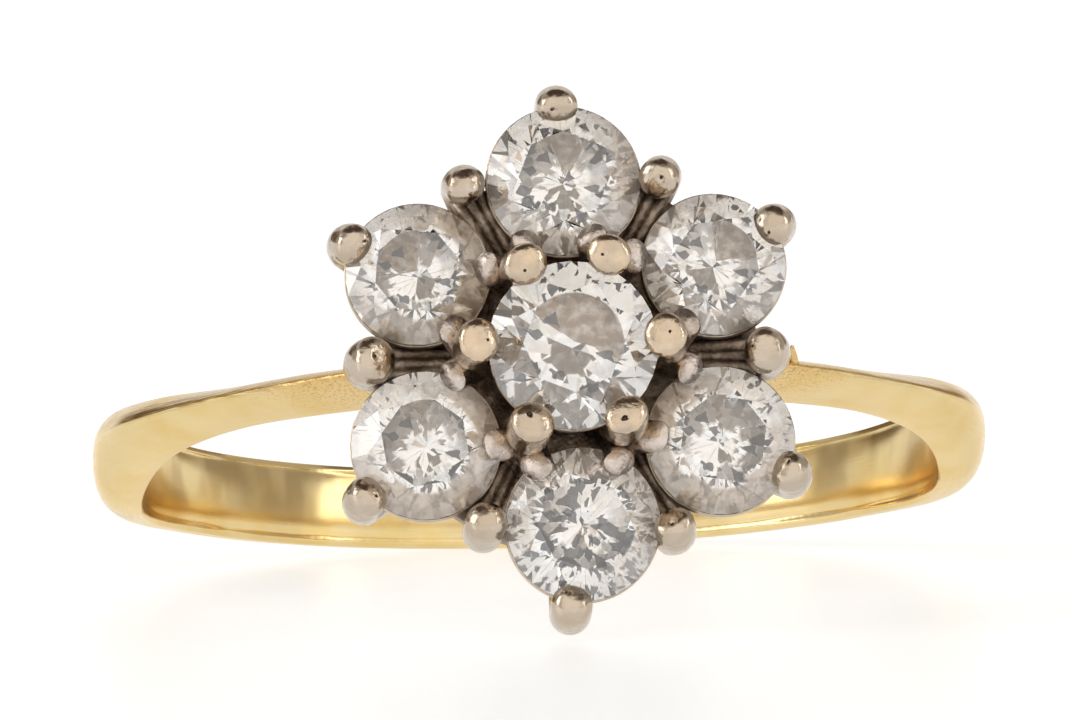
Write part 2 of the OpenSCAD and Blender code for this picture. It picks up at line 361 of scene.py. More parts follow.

# %% [markdown]
# The colour is mixed from the pale gold up. Patches are a little deeper in colour. A painted dark
# reflection of the ceiling lies as a streaky band along the shoulders' crest, stronger on the left
# shoulder. Painted dark reflections of the head and the ceiling lie in the bore, most of all in its
# upper half. Near the soldered joint the heat has reddened the gold, with dark freckles in it.

# %% The gold's colour
GOLD, GOLD_DEEP = (0.84, 0.67, 0.35), (0.80, 0.60, 0.25)
GOLD_BY_HEAD, SOLDER_STAIN = (0.80, 0.55, 0.22), (0.48, 0.24, 0.08)
# Painted dark reflection of the ceiling along the crest
CREST_DARK_REFLECTION = (0.36, 0.21, 0.09)
# Painted dark reflection of the head and the ceiling in the bore
BORE_DARK_REFLECTION = (0.50, 0.36, 0.17)
SCRATCH_STRETCH, BORE_REFLECTION_STRETCH = (0.12, 3, 3), (1.3, 1, 0.7)
BORE_SCRATCHES = 0.6
# The bore's painted dark reflection is weak low on the band and strong in its upper half
BORE_REFLECTION_HEIGHTS, BORE_REFLECTION_LEAST, BORE_REFLECTION_MOST = (-0.6, 0.3), 0.1, 0.75
REDDENED = 0.6

patches = noise(tree, on_band, 0.8)
grain = noise(tree, place, 16, 6)
scratches = noise(tree, on_band, 7, 4, SCRATCH_STRETCH)
scratches = product(tree, scratches, remap(tree, in_bore, 0, 1, 1, BORE_SCRATCHES))
# Painted dark reflection of the ceiling along the crest, broken up by the scratches
crest_reflection = product(tree, on_crest, remap(tree, scratches, 0.42, 0.56, 0.0, 0.85))
# Dark patches in the bore are painted reflections of the head and the ceiling, strongest in its upper
# half
bore_reflection = remap(tree, noise(tree, on_band, 0.9, 1.5, BORE_REFLECTION_STRETCH), 0.38, 0.66)
bore_reflection = product(tree, bore_reflection, remap(tree, z, *BORE_REFLECTION_HEIGHTS, BORE_REFLECTION_LEAST, BORE_REFLECTION_MOST), in_bore)
freckles = product(tree, near_head, remap(tree, grain, 0.5, 0.68, 0.0, 0.8))
colour = blend_colours(tree, remap(tree, patches, 0.4, 0.75), GOLD, GOLD_DEEP)
# The crest gets its painted dark reflection
colour = blend_colours(tree, crest_reflection, colour, CREST_DARK_REFLECTION)
# The bore gets its painted dark reflection
colour = blend_colours(tree, bore_reflection, colour, BORE_DARK_REFLECTION)
colour = blend_colours(tree, product(tree, near_head, REDDENED), colour, GOLD_BY_HEAD)
colour = blend_colours(tree, freckles, colour, SOLDER_STAIN)
print("the gold's colour is mixed, with", len(tree.nodes), "nodes so far")

# %% [markdown]
# A perfect mirror would look like plastic foil. The polished band waves a little from the file, long
# fine scratches run round it and cut deepest on the crest, and the solder froze with a rough grain.

# %% The gold's surface
GOLD_EDGE = (1.0, 0.94, 0.84)
GOLD_POLISHED, GOLD_WORN, BORE_DULLER = 0.16, 0.26, 0.04
WAVES_OUTSIDE, WAVES_IN_BORE = 1.4, 0.5
BAND_SCRATCH, CREST_SCRATCH, JOINT_GRAIN = 0.012, 0.12, 0.03
BAND_RELIEF = 0.12

worn = remap(tree, scratches, 0.35, 0.7, GOLD_POLISHED, GOLD_WORN)
worn = total(tree, worn, product(tree, in_bore, BORE_DULLER))
waves = noise(tree, on_band, 0.5, 1)
waves = product(tree, waves, remap(tree, in_bore, 0, 1, WAVES_OUTSIDE, WAVES_IN_BORE))
scratch_depth = remap(tree, on_crest, 0, 1, BAND_SCRATCH, CREST_SCRATCH)
scratch_depth = product(tree, scratches, scratch_depth)
grain_depth = product(tree, grain, product(tree, near_head, JOINT_GRAIN))
relief = total(tree, waves, total(tree, scratch_depth, grain_depth))
shader.inputs["Specular Tint"].default_value = (*GOLD_EDGE, 1)
dress_metal(tree, shader, colour, worn, relief, BAND_RELIEF)

# %% [markdown]
# ### White gold
# The claws are bright where cloth and fingers rub them. Deeper in the head, polish never reaches,
# and old soap and tarnish turn the metal dark brown. Two metals with a border would show a line, so
# one mask says how deep between the stones a point lies, and the metal changes softly with it.

# %% White gold with tarnish in its depths
WHITE_GOLD, WHITE_GOLD_WARM = (0.60, 0.51, 0.41), (0.54, 0.45, 0.35)
# The darker tarnish colour also colours the claws' pits, there as a painted dark reflection
TARNISH, DARK_TARNISH_AND_PIT_REFLECTION = (0.44, 0.36, 0.29), (0.15, 0.11, 0.08)
# Heights over the finger axis, and distances from the head's own axis
DEEP_UNDER = (OUTER_H - 0.2, OUTER_H + 0.75)
UNDERSIDE, UNDERSIDE_TARNISH = (OUTER_H - 2.3, OUTER_H - 1.5), 0.2
DEEP_WITHIN = (3.7, 4.5)
RAGGED_DEPTH = 0.6
METAL_POLISHED, METAL_WORN, DEEP_DULLER = 0.12, 0.24, 0.35
METAL_GRAIN, DEEP_GRAIN = 0.07, 0.3
HEAD_RELIEF = 0.09

white_gold, tree, shader = new_material("worn_white_gold")
place = coordinates(tree, HEAD_TO_ROOM)
x, y, height = split(tree, place)
patches = noise(tree, place, 1.6)
grain = noise(tree, place, 12, 4)
uneven = total(tree, height, product(tree, grain, RAGGED_DEPTH))
deep = product(
    tree, remap(tree, uneven, *DEEP_UNDER, 1, 0), remap(tree, length(tree, x, y), *DEEP_WITHIN, 1, 0),
    remap(tree, height, *UNDERSIDE, UNDERSIDE_TARNISH, 1),
)
colour = blend_colours(tree, remap(tree, patches, 0.4, 0.65), WHITE_GOLD, WHITE_GOLD_WARM)
blotches = remap(tree, noise(tree, place, 2.5, 5), 0.4, 0.65)
dirt = blend_colours(tree, blotches, DARK_TARNISH_AND_PIT_REFLECTION, TARNISH)
colour = blend_colours(tree, deep, colour, dirt)
worn = remap(tree, grain, 0.3, 0.7, METAL_POLISHED, METAL_WORN)
dull = total(tree, worn, product(tree, deep, DEEP_DULLER))
relief = total(
    tree, noise(tree, place, 1.9, 2), product(tree, grain, METAL_GRAIN),
    product(tree, grain, deep, DEEP_GRAIN),
)
dress_metal(tree, shader, colour, dull, relief, HEAD_RELIEF)

# %% [markdown]
# The claws on the centre stone stand highest, so they are rubbed brightest. The small claws beside
# them were clipped and never polished, so they are dull. Both are even all over, and one function
# makes the two.

# %% Rubbed and dull white gold
RUBBED_GOLD = (0.72, 0.57, 0.41)
DULL_GOLD, DULL_GOLD_DARK = (0.74, 0.66, 0.60), (0.48, 0.40, 0.34)


def even_white_gold(name, colours, levels, scales, roughness, grain_share, depth):
    """White gold of two colours in patches, which change over at the two levels of a noise. scales
    are those of its patches and its grain, and roughness is the least and the most."""
    material, tree, shader = new_material(name)
    place = coordinates(tree, HEAD_TO_ROOM)
    patches, grain = (noise(tree, place, scale, 4) for scale in scales)
    colour = blend_colours(tree, remap(tree, patches, *levels), *colours)
    worn = remap(tree, grain, 0.3, 0.7, *roughness)
    relief = total(tree, patches, product(tree, grain, grain_share))
    dress_metal(tree, shader, colour, worn, relief, depth)
    return material


rubbed_white_gold = even_white_gold(
    "rubbed_white_gold", (RUBBED_GOLD, WHITE_GOLD_WARM), levels=(0.3, 0.7), scales=(2.2, 12),
    roughness=(METAL_POLISHED, METAL_WORN), grain_share=METAL_GRAIN, depth=0.06,
)
dull_white_gold = even_white_gold(
    "dull_white_gold", (DULL_GOLD, DULL_GOLD_DARK), levels=(0.35, 0.7), scales=(3, 14),
    roughness=(0.25, 0.42), grain_share=0.3, depth=0.04,
)

# %% [markdown]
# A tiny pit lies in each claw's end. The pit itself is in the mesh, and its own dark metal is a
# painted dark reflection of the camera's lens.

# %% Painted dark reflection in the claws' pits
# The pits' dark metal is a painted reflection of the camera's lens
PIT_LENS_REFLECTION, PIT_ROUGHNESS = (0.06, 0.045, 0.03), 0.5

pit_metal, tree, shader = new_material("pitted_white_gold")
specks = noise(tree, coordinates(tree, HEAD_TO_ROOM), 20, 3)
# Painted dark reflection in the pits
colour = blend_colours(tree, remap(tree, specks, 0.3, 0.7), DARK_TARNISH_AND_PIT_REFLECTION, PIT_LENS_REFLECTION)
tree.links.new(colour, shader.inputs["Base Color"])
shader.inputs["Metallic"].default_value = 1
shader.inputs["Roughness"].default_value = PIT_ROUGHNESS
print("pit metal of", len(tree.nodes), "nodes")

# %% [markdown]
# ### Diamond
# A diamond is clear, and its whole look is light that turns round inside it. Its index of 2.42
# bends light so much that nearly all of it comes back through the table. Through the table one also
# sees the facets of the pavilion many times over, as a white star with small dark kites at its ends.
# The facets give the star. The kites would need far more of them, so a pattern round the stone's
# axis paints them into the colour as painted dark reflections: each kite-shaped patch gets one
# chance to be painted dark and one to be painted grey.

# %% The pattern round a stone's axis
KITES_ROUND, KITES_OUT = 24, 6


def facet_chances(tree, angle, share):
    """Two chances for each patch, by its angle and its distance as a share of the radius."""
    patch = join(
        tree, product(tree, angle, KITES_ROUND / (2 * math.pi)), product(tree, share, KITES_OUT)
    )
    cells = add_node(
        tree, "ShaderNodeTexVoronoi", {"voronoi_dimensions": "2D", "distance": "MANHATTAN"},
        {"Vector": patch, "Scale": 1},
    ).outputs["Color"]
    dark_chance, grey_chance, _ = add_node(
        tree, "ShaderNodeSeparateColor", inputs={"Color": cells}
    ).outputs
    return dark_chance, grey_chance


def turned_towards(tree, angle, degrees):
    """1 where the angle equals degrees, 0 a quarter turn from it and -1 opposite."""
    return maths(tree, "COSINE", maths(tree, "SUBTRACT", angle, math.radians(degrees)))


# %% [markdown]
# A brownish patch under a part of each table is a painted dark reflection. A haze lies under the
# crown that is thicker on one side. Single facets carry both a little further in or out, so their
# edges are ragged. Haze and the painted reflection also let less light through. Each stone has a
# material in its own coordinates.

# %% A diamond's colours, and where its marks lie
# The grey facets and the dark kites are painted reflections of the pavilion
CLEAR, GREY = (0.99, 0.98, 0.965), (0.80, 0.75, 0.69)
# The deep haze colour is also the colour of the painted table reflection
HAZE, DEEP_HAZE_AND_REFLECTION = (0.49, 0.40, 0.31), (0.19, 0.125, 0.075)
KITE, KITE_SOFT = (0.02, 0.02, 0.024), 0.01
DIAMOND_INDEX = 2.42
# Distances as shares of the radius, and a height over the girdle in millimetres, each from where
# a mark is absent to where it is full
# The first pair is for the painted dark reflection in the table
REFLECTION_EDGE, HAZE_EDGE = (0.6, 0.57), (0.68, 0.76)
STAR_MIDDLE, STAR_EDGE = (0.16, 0.2), (0.70, 0.66)
TABLE_HEIGHTS = (0.0, 0.15)
REFLECTION_RAGGED, REFLECTION_FRINGE = 0.25, (0.12, 0.16)
HAZE_RAGGED, HAZE_LUMPS, HAZE_SIDES, THIN_SIDE = 0.2, 1.6, (-0.6, 1.2), 0.25
HAZY_TRANSMISSION = 0.4


# %% A diamond with its painted table reflection and haze
def stone_material(name, to_room, radius, reflection_at, reflection_half, haze_at, haze_most, kite_share):
    """Diamond with a painted dark reflection in its table, the given half-width in degrees to both
    sides of the given middle angle, and a haze round its crown that is thickest towards haze_at.
    kite_share of its inner facets are painted dark."""
    material, tree, shader = new_material(name)
    place = coordinates(tree, to_room)
    x, y, height = split(tree, place)
    share = maths(tree, "DIVIDE", length(tree, x, y), radius)
    angle = maths(tree, "ARCTAN2", y, x)
    dark_chance, grey_chance = facet_chances(tree, angle, share)
    smoke = noise(tree, place, 5, 5)

    # Painted dark reflection in the table, on one side of the stone
    ragged = product(tree, grey_chance, REFLECTION_RAGGED)
    ragged = total(tree, turned_towards(tree, angle, reflection_at), ragged)
    edge = math.cos(math.radians(reflection_half))
    painted_reflection = product(
        tree, remap(tree, ragged, *(edge + fringe for fringe in REFLECTION_FRINGE)),
        remap(tree, share, *REFLECTION_EDGE), remap(tree, smoke, 0.3, 0.6, 0.8, 1.0),
        remap(tree, height, *TABLE_HEIGHTS),
    )
    lumps = product(tree, noise(tree, place, 1.6, 4), HAZE_LUMPS)
    sided = total(tree, turned_towards(tree, angle, haze_at), lumps)
    ragged = total(tree, share, product(tree, grey_chance, HAZE_RAGGED))
    haze = product(
        tree, remap(tree, sided, *HAZE_SIDES, THIN_SIDE * haze_most, haze_most),
        remap(tree, ragged, *HAZE_EDGE),
    )
    # From here the haze also holds the painted table reflection
    haze = maths(tree, "MAXIMUM", painted_reflection, haze)
    in_star = product(tree, remap(tree, share, *STAR_MIDDLE), remap(tree, share, *STAR_EDGE))
    is_dark = remap(tree, dark_chance, kite_share + KITE_SOFT, kite_share)

    # Painted grey reflections on some facets
    colour = blend_colours(tree, remap(tree, grey_chance, 0.45, 1.0, 0.0, 0.6), CLEAR, GREY)
    # The deep colour paints the table reflection and smoky patches of haze
    smoke_and_reflection = maths(tree, "MAXIMUM", painted_reflection, remap(tree, smoke, 0.42, 0.62, 0.0, 0.45))
    haze_and_reflection_colour = blend_colours(tree, smoke_and_reflection, HAZE, DEEP_HAZE_AND_REFLECTION)
    colour = blend_colours(tree, haze, colour, haze_and_reflection_colour)
    # Painted dark reflections as kites in the star
    colour = blend_colours(tree, product(tree, is_dark, in_star), colour, KITE)
    tree.links.new(colour, shader.inputs["Base Color"])
    shader.inputs["Roughness"].default_value = 0
    shader.inputs["IOR"].default_value = DIAMOND_INDEX
    clearness = remap(tree, haze, 0, 1, 1.0, HAZY_TRANSMISSION)
    tree.links.new(clearness, shader.inputs["Transmission Weight"])
    return material


# %% [markdown]
# ## The shank
# The shank is one bar of gold bent into a ring. Its section changes all the way round: a low
# D-shape at the back, and a knife edge on the shoulders. It could be lofted section by section.
# Spinning one profile round the finger is simpler: it gives an even band, closed and without seam,
# and each section is then shaped by its angle from the head.

# %% The shank's sections, by their angle from the head
BACK_W, SIDE_W, SHOULDER_W = 1.76, 2.08, 0.9
BACK_T, SHOULDER_T = 1.14, 2.05
SHOULDER_LIFT = 0.26
FROM_HEAD, WIDTH, THICKNESS, LIFT, SHARPNESS = range(5)
MID_W = (SIDE_W + 2 * SHOULDER_W) / 3
REAR_W = (SIDE_W + 2 * BACK_W) / 3
SECTIONS = [
    (0, SHOULDER_W, SHOULDER_T, SHOULDER_LIFT, 0.85),
    (20, SHOULDER_W, SHOULDER_T, SHOULDER_LIFT, 0.85),
    (34, SHOULDER_W, 0.75 * SHOULDER_T, SHOULDER_LIFT, 0.85),
    (50, SHOULDER_W, 0.62 * SHOULDER_T, 0.9 * SHOULDER_LIFT, 0.75),
    (68, MID_W, 1.06 * BACK_T, 0.8 * SHOULDER_LIFT, 0.4),
    (91, SIDE_W, BACK_T, 0, 0),
    (125, REAR_W, BACK_T, 0, 0),
    (180, BACK_W, BACK_T, 0, 0),
]
ROUNDING = 1e-6


def slope(i, column):
    """How fast a column grows at row i, by the rows beside it. At both ends it is level."""
    if i in (0, len(SECTIONS) - 1):
        return 0
    rise = SECTIONS[i + 1][column] - SECTIONS[i - 1][column]
    return rise / (SECTIONS[i + 1][FROM_HEAD] - SECTIONS[i - 1][FROM_HEAD])


def section_value(angle, column):
    """A column's value at an angle from the head, on a smooth curve through the rows."""
    i = next(i for i in range(1, len(SECTIONS)) if angle <= SECTIONS[i][FROM_HEAD] + ROUNDING)
    low, high = SECTIONS[i - 1], SECTIONS[i]
    gap = high[FROM_HEAD] - low[FROM_HEAD]
    s = (angle - low[FROM_HEAD]) / gap
    return (
        (1 + 2 * s) * (1 - s) ** 2 * low[column]
        + s * (1 - s) ** 2 * gap * slope(i - 1, column)
        + s * s * (3 - 2 * s) * high[column]
        - s * s * (1 - s) * gap * slope(i, column)
    )


for angle in (0, 45, 90, 180):
    print(f"{angle} degrees from the head the shank is {section_value(angle, WIDTH):.2f} mm wide")

# %% The curve of the outside, and the room for the head
DOME_POWER = 2.6
CREST_ROUND, CREST_LEAN = 0.42, 0.15
GALLERY_W, GALLERY_T = 0.74, 0.7
GALLERY_R = 3.05
SOLDER_GAP = 0.02
BEARER_H = GALLERY_H - GALLERY_T / 2 - SOLDER_GAP
BEARER_R = GALLERY_R + GALLERY_W / 2 + SOLDER_GAP
BEARER_STEP, BEARER_FLARE, BEARER_FLARE_H = 0.3, 1.9, 3


def dome(s, sharpness):
    """Height of the outside at s across the section: round at sharpness 0, a knife edge at 1.
    The edge lies a little above the middle."""
    lean = CREST_LEAN * sharpness
    s = (s - lean) / (1 - lean if s > lean else 1 + lean)
    round_dome = max(1 - abs(s) ** DOME_POWER, 0) ** (1 / DOME_POWER)
    worn = math.hypot(s, CREST_ROUND) - CREST_ROUND
    return mix(round_dome, 1 - worn / (math.hypot(1, CREST_ROUND) - CREST_ROUND), sharpness)


def under_head(place):
    """Lowers a place on the shank until it clears the setting."""
    height = -place.y
    distance = math.hypot(place.x, place.z)
    if height < 0 or distance > BEARER_R + BEARER_FLARE:
        return place
    roof = BEARER_H
    if distance > BEARER_R:
        roof += BEARER_STEP + (distance - BEARER_R) * BEARER_FLARE_H / BEARER_FLARE
    return Vector((place.x, -min(height, roof), place.z))


print(f"the shank carries the head {BEARER_H:.2f} mm above the finger axis")

# %% Spin a profile round the finger and shape each section
OUTSIDE_POINTS, ROUND_STEPS = 33, 240
BORE_ROUND, BORE_POWER = 0.15, 4
RIM_T = 0.16

bm = bmesh.new()
across_band = bm.verts.layers.float.new("across_band")
is_bore = bm.verts.layers.int.new("is_bore")
shares = [-math.cos(math.pi * k / (OUTSIDE_POINTS - 1)) for k in range(OUTSIDE_POINTS)]
profile = [bm.verts.new((0, -FINGER_R - 1, s)) for s in shares]
bore = [bm.verts.new((0, -FINGER_R, s)) for s in reversed(shares[1:-1])]
profile += bore
edges = [bm.edges.new((a, b)) for a, b in zip(profile, profile[1:] + profile[:1])]
for vert in profile:
    vert[across_band] = vert.co.z
for vert in bore:
    vert[is_bore] = 1
bmesh.ops.spin(
    bm, geom=profile + edges, cent=(0, 0, 0), axis=(0, 0, 1),
    angle=2 * math.pi, steps=ROUND_STEPS, use_merge=True,
)
for vert in bm.verts:
    angle = math.atan2(vert.co.x, -vert.co.y)
    from_head = math.degrees(abs(angle))
    share = vert[across_band]
    height = section_value(from_head, LIFT) + share * section_value(from_head, WIDTH) / 2
    radius = FINGER_R + BORE_ROUND * abs(share) ** BORE_POWER
    if not vert[is_bore]:
        rise = dome(share, section_value(from_head, SHARPNESS))
        radius = FINGER_R + RIM_T + (section_value(from_head, THICKNESS) - RIM_T) * rise
    vert.co = (radius * math.sin(angle), -radius * math.cos(angle), height)
    vert.co = under_head(vert.co)
shank = finish_piece(bm, "shank_gold", RING_TO_ROOM, [yellow_gold])
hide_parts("shank")

# %% [markdown]
# ## The setting
# The head is soldered from wire. A curve with a bevel would give a wire too, but its end is either
# cut or a half ball. Here a circle is extruded along a path, which leaves the end free. A claw's end
# is flat with a rounded rim, which a superellipse draws, and a tiny pit in dark metal beside its
# middle is a painted reflection of the camera's lens.

# %% Paths, and the rings that shape a claw's end
END_SHARES = (0.995, 0.97, 0.93, 0.87, 0.79, 0.69, 0.57, 0.44, 0.31, 0.2)
END_LEAN = 1.5
PIT_RIM = 1.25
PIT_SHARES = (1.0, 0.8, 0.4)
PIT_DEPTHS = (0.2, 0.7, 0.9)


def straight(start, end, steps=4):
    """Places at even steps from start to end."""
    return [start.lerp(end, k / steps) for k in range(steps + 1)]


def bent(start, corner, end, steps=8):
    """Places along a curve that leaves start towards corner and arrives at end from it."""
    return [
        start * (1 - t) ** 2 + corner * 2 * t * (1 - t) + end * t * t
        for t in (k / steps for k in range(steps + 1))
    ]


def end_stops(place, radius, direction, height, power, pit):
    """Rings of a claw's end as (place, radius, direction, is it in the pit). pit is the way from
    the end's middle to its pit and the pit's radius, or None."""
    stops = []
    for share in END_SHARES:
        rise = height * (1 - share ** power) ** (1 / power)
        aside = (pit[0] if pit else Vector()) * (1 - share) ** END_LEAN
        stops.append((place + direction * rise + aside, radius * share, direction, False))
    if pit:
        aside, pit_r = pit
        top = place + direction * height + aside
        stops.append((top, pit_r * PIT_RIM, direction, False))
        for share, depth in zip(PIT_SHARES, PIT_DEPTHS):
            stops.append((top - direction * depth * pit_r, pit_r * share, direction, True))
    return stops


# %% A wire along a path
WIRE_SIDES = 40


def add_wire(bm, places, radii, height=0.0, power=2.0, pit=None, flat=1.0):
    """Adds a wire through places. height and power shape a claw's end, and height 0 leaves it cut.
    flat under 1 squeezes the wire."""
    last = len(places) - 1
    along = [
        (places[min(i + 1, last)] - places[max(i - 1, 0)]).normalized() for i in range(last + 1)
    ]
    turn = along[0].to_track_quat("Z", "Y").to_matrix().to_4x4()
    squeeze = Matrix.Diagonal((1, flat, 1, 1))
    placed = Matrix.Translation(places[0]) @ turn @ squeeze @ Matrix.Scale(radii[0], 4)
    ring = bmesh.ops.create_circle(
        bm, segments=WIRE_SIDES, radius=1, cap_ends=False, matrix=placed
    )["verts"]
    edges = list({e for v in ring for e in v.link_edges})
    bmesh.ops.contextual_create(bm, geom=edges)
    stops = [(places[i], radii[i], along[i], False) for i in range(1, last + 1)]
    if height:
        stops += end_stops(places[-1], radii[-1], along[-1], height, power, pit)
    facing = along[0]
    for centre, radius, direction, in_pit in stops:
        grown = bmesh.ops.extrude_edge_only(bm, edges=edges)["geom"]
        ring = {g for g in grown if isinstance(g, bmesh.types.BMVert)}
        edges = [g for g in grown if isinstance(g, bmesh.types.BMEdge) and ring.issuperset(g.verts)]
        for face in (g for g in grown if isinstance(g, bmesh.types.BMFace)):
            face.material_index = int(in_pit)
        turn = facing.rotation_difference(direction).to_matrix().to_4x4() @ turn
        facing = direction
        target = Matrix.Translation(centre) @ turn @ squeeze @ Matrix.Scale(radius, 4)
        bmesh.ops.transform(bm, matrix=target @ placed.inverted(), verts=list(ring))
        placed = target
    for face in bmesh.ops.contextual_create(bm, geom=edges)["faces"]:
        face.material_index = int(pit is not None)


def add_bar(bm, start, end, radius):
    """Adds a straight wire of one radius."""
    places = straight(start, end)
    add_wire(bm, places, [radius] * len(places))


# %% [markdown]
# ### Claws
# Six claws stand outside the stones and six between them. Each leaves the gallery ring, leans out
# past the girdle and bends in over the stone. Six more hold the centre stone. One claw could be
# copied round the head, but no two were pressed alike. So each one is built in its own place, is
# flattened a little differently, and has its pit on another side.

# %% The path and thickness of a claw
CLAW_R, SIDE_CLAW_R, STEM_R = 0.44, 0.48, 0.34
RIM_CLAW_R = CLAW_R - 0.02
STEM_PLACES = 4
PIT_ASIDE = 0.13
SMALL_PIT_R, LARGE_PIT_R = 0.028, 0.055
FLAT_SPREAD = 0.06


def claw_places(foot, angle, distance, height, bend, steps):
    """A claw's path. bend gives its knee, its corner and its tip, as ways outwards and upwards from
    the distance and the height of its end."""
    knee, corner, tip = (polar(angle, distance + out, height + up) for out, up in bend)
    return straight(foot, knee)[:-1] + bent(knee, corner, tip, steps)


def claw_radii(count, radius, swell):
    """Radii from the stem to the tip, where the metal was pressed a little wider."""
    last = count - 1
    return [
        mix(STEM_R, radius, min(k / STEM_PLACES, 1)) * mix(1, swell, k / last) for k in range(count)
    ]


def flat_by_hand(angle, times, middle):
    """How flat a claw was pressed. A multiple of its angle makes it differ from claw to claw."""
    return middle + FLAT_SPREAD * math.cos(times * angle)


def pit_beside(angle, radius):
    """The way from the middle of a claw's end to its pit, and the pit's radius."""
    return polar(angle, PIT_ASIDE, 0), radius


# %% Claws outside the stones and between them
OUTER_TIP_H, SHARED_TIP_H = OUTER_H - 0.06, OUTER_H + 0.2
RIM_BEND, RIM_STEPS = ((0.06, -0.75), (0.12, -0.12), (-0.05, 0.15)), 8
RIM_SWELL, RIM_FLAT = 1.03, 0.94
RIM_END_H, RIM_END_POWER = 0.34, 2.15
RIM_PIT_TURN = 160
SIDE_SINE = 0.1


def add_rim_claw(bm, angle, distance, height, radius):
    """Adds a claw that rises from the gallery ring and bends in over the girdle."""
    foot = polar(angle, GALLERY_R, GALLERY_H)
    places = claw_places(foot, angle, distance, height, RIM_BEND, RIM_STEPS)
    add_wire(
        bm, places, claw_radii(len(places), radius, RIM_SWELL), RIM_END_H, RIM_END_POWER,
        pit=pit_beside(angle + RIM_PIT_TURN + 3 * angle, SMALL_PIT_R),
        flat=flat_by_hand(angle, 5, RIM_FLAT),
    )


bm = bmesh.new()
for row in OUTER:
    add_rim_claw(bm, *row[OUTER_CLAW], OUTER_TIP_H, RIM_CLAW_R)
    at_side = abs(math.sin(math.radians(row[SHARED_CLAW][0]))) < SIDE_SINE
    add_rim_claw(bm, *row[SHARED_CLAW], SHARED_TIP_H, SIDE_CLAW_R if at_side else RIM_CLAW_R)
rim_claws = finish_piece(bm, "rim_claws", HEAD_TO_ROOM, [white_gold, pit_metal])
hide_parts("setting")

# %% Claws on the centre stone
ROOT_R, ROOT_H = 1.2, GALLERY_H + 1.1
CENTRE_BEND, CENTRE_STEPS = ((0.04, -0.4), (0.06, 0.3), (-0.04, 0.66)), 5
CENTRE_SWELL, CENTRE_FLAT = 1.05, 0.9
CENTRE_END_H, CENTRE_END_POWER = 0.24, 2.4
# The two lower centre claws have the large pits
LOWER_CLAW_ANGLE = -50


def add_centre_claw(bm, angle, distance):
    """Adds a claw that rises inside the head and bends in over the centre stone."""
    root = polar(angle, ROOT_R, ROOT_H)
    places = claw_places(root, angle, distance, CENTRE_H, CENTRE_BEND, CENTRE_STEPS)
    pit_r = LARGE_PIT_R if angle < LOWER_CLAW_ANGLE else SMALL_PIT_R
    add_wire(
        bm, places, claw_radii(len(places), CLAW_R, CENTRE_SWELL), CENTRE_END_H, CENTRE_END_POWER,
        pit=pit_beside(angle + 7 * angle, pit_r), flat=flat_by_hand(angle, 3, CENTRE_FLAT),
    )


bm = bmesh.new()
for row in OUTER:
    add_centre_claw(bm, *row[CENTRE_CLAW])
centre_claws = finish_piece(
    bm, "centre_claws", HEAD_TO_ROOM, [rubbed_white_gold, pit_metal]
)
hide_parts("setting")

# %% [markdown]
# ### A drop of solder
# Where the right shoulder meets the head the gold solder ran over and froze as a thin spur. The
# maker left it. It is far too large for bump, and a short wire that tapers to a point copies it.

# %% Solder spur
SPUR_FOOT, SPUR_TIP = Vector((4.93, 0.33, 8.80)), Vector((4.87, 0.68, 9.20))
SPUR_RADII = [0.10, 0.10, 0.09, 0.07, 0.04]
SPUR_END_H, SPUR_FLAT = 0.04, 0.6

bm = bmesh.new()
add_wire(bm, straight(SPUR_FOOT, SPUR_TIP), SPUR_RADII, height=SPUR_END_H, flat=SPUR_FLAT)
solder_spur = finish_piece(bm, "solder_spur", HEAD_TO_ROOM, [yellow_gold])
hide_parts("shank")

# %% [markdown]
# ### Small claws
# Beside each centre claw the setter raised two small grains over the outer stones and clipped them
# at a slant. A short flattened wire with a plane cut across it gives such a chip.

# %% Small claws
SMALL_CLAW_RADII = [0.36, 0.36, 0.36, 0.35, 0.33]
SMALL_TIP_H = OUTER_H + 0.44
FORK_R, FORK_H = 1.85, OUTER_H - 0.9
SMALL_TIP_R, SMALL_SPREAD = 2.47, 11.5
SMALL_END_H, SMALL_END_POWER, SMALL_FLAT = 0.22, 2.4, 0.72
CLIP_SLOPE, CLIP_ASIDE, CLIP_TURN = 24, 100, 70
CLIP_RISE = Vector((0, 0, 0.02))
ON_PLANE = 1e-5


def clip(bm, place, normal):
    """Cuts bm by a plane, takes what is beyond it away and closes the cut."""
    whole = bm.verts[:] + bm.edges[:] + bm.faces[:]
    cut = bmesh.ops.bisect_plane(
        bm, geom=whole, dist=ON_PLANE, plane_co=place, plane_no=normal, clear_outer=True
    )["geom_cut"]
    edges = [g for g in cut if isinstance(g, bmesh.types.BMEdge)]
    if edges:
        bmesh.ops.contextual_create(bm, geom=edges)


def add_small_claw(bm, angle, side, turn):
    """Adds the small claw on one side of the centre claw at angle. turn turns its clipped face."""
    fork = polar(angle, FORK_R, FORK_H)
    tip = polar(angle + side * SMALL_SPREAD, SMALL_TIP_R, SMALL_TIP_H)
    chip = bmesh.new()
    add_wire(
        chip, straight(fork, tip), SMALL_CLAW_RADII, SMALL_END_H, SMALL_END_POWER, flat=SMALL_FLAT
    )
    steep = math.radians(CLIP_SLOPE)
    normal = polar(angle + side * CLIP_ASIDE + turn, math.sin(steep), math.cos(steep))
    clip(chip, tip + CLIP_RISE, normal)
    add_part(bm, chip)


bm = bmesh.new()
for i, row in enumerate(OUTER):
    for side in (-1, 1):
        add_small_claw(bm, row[CENTRE_CLAW][0], side, CLIP_TURN * i)
small_claws = finish_piece(bm, "small_claws", HEAD_TO_ROOM, [dull_white_gold])
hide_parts("setting")

# %% [markdown]
# ### Collets
# A collet is the cup that a stone sits in. A cone with a hole cut in it would do, but one profile
# that is spun round gives the wall, the seat and the thin lip at once.

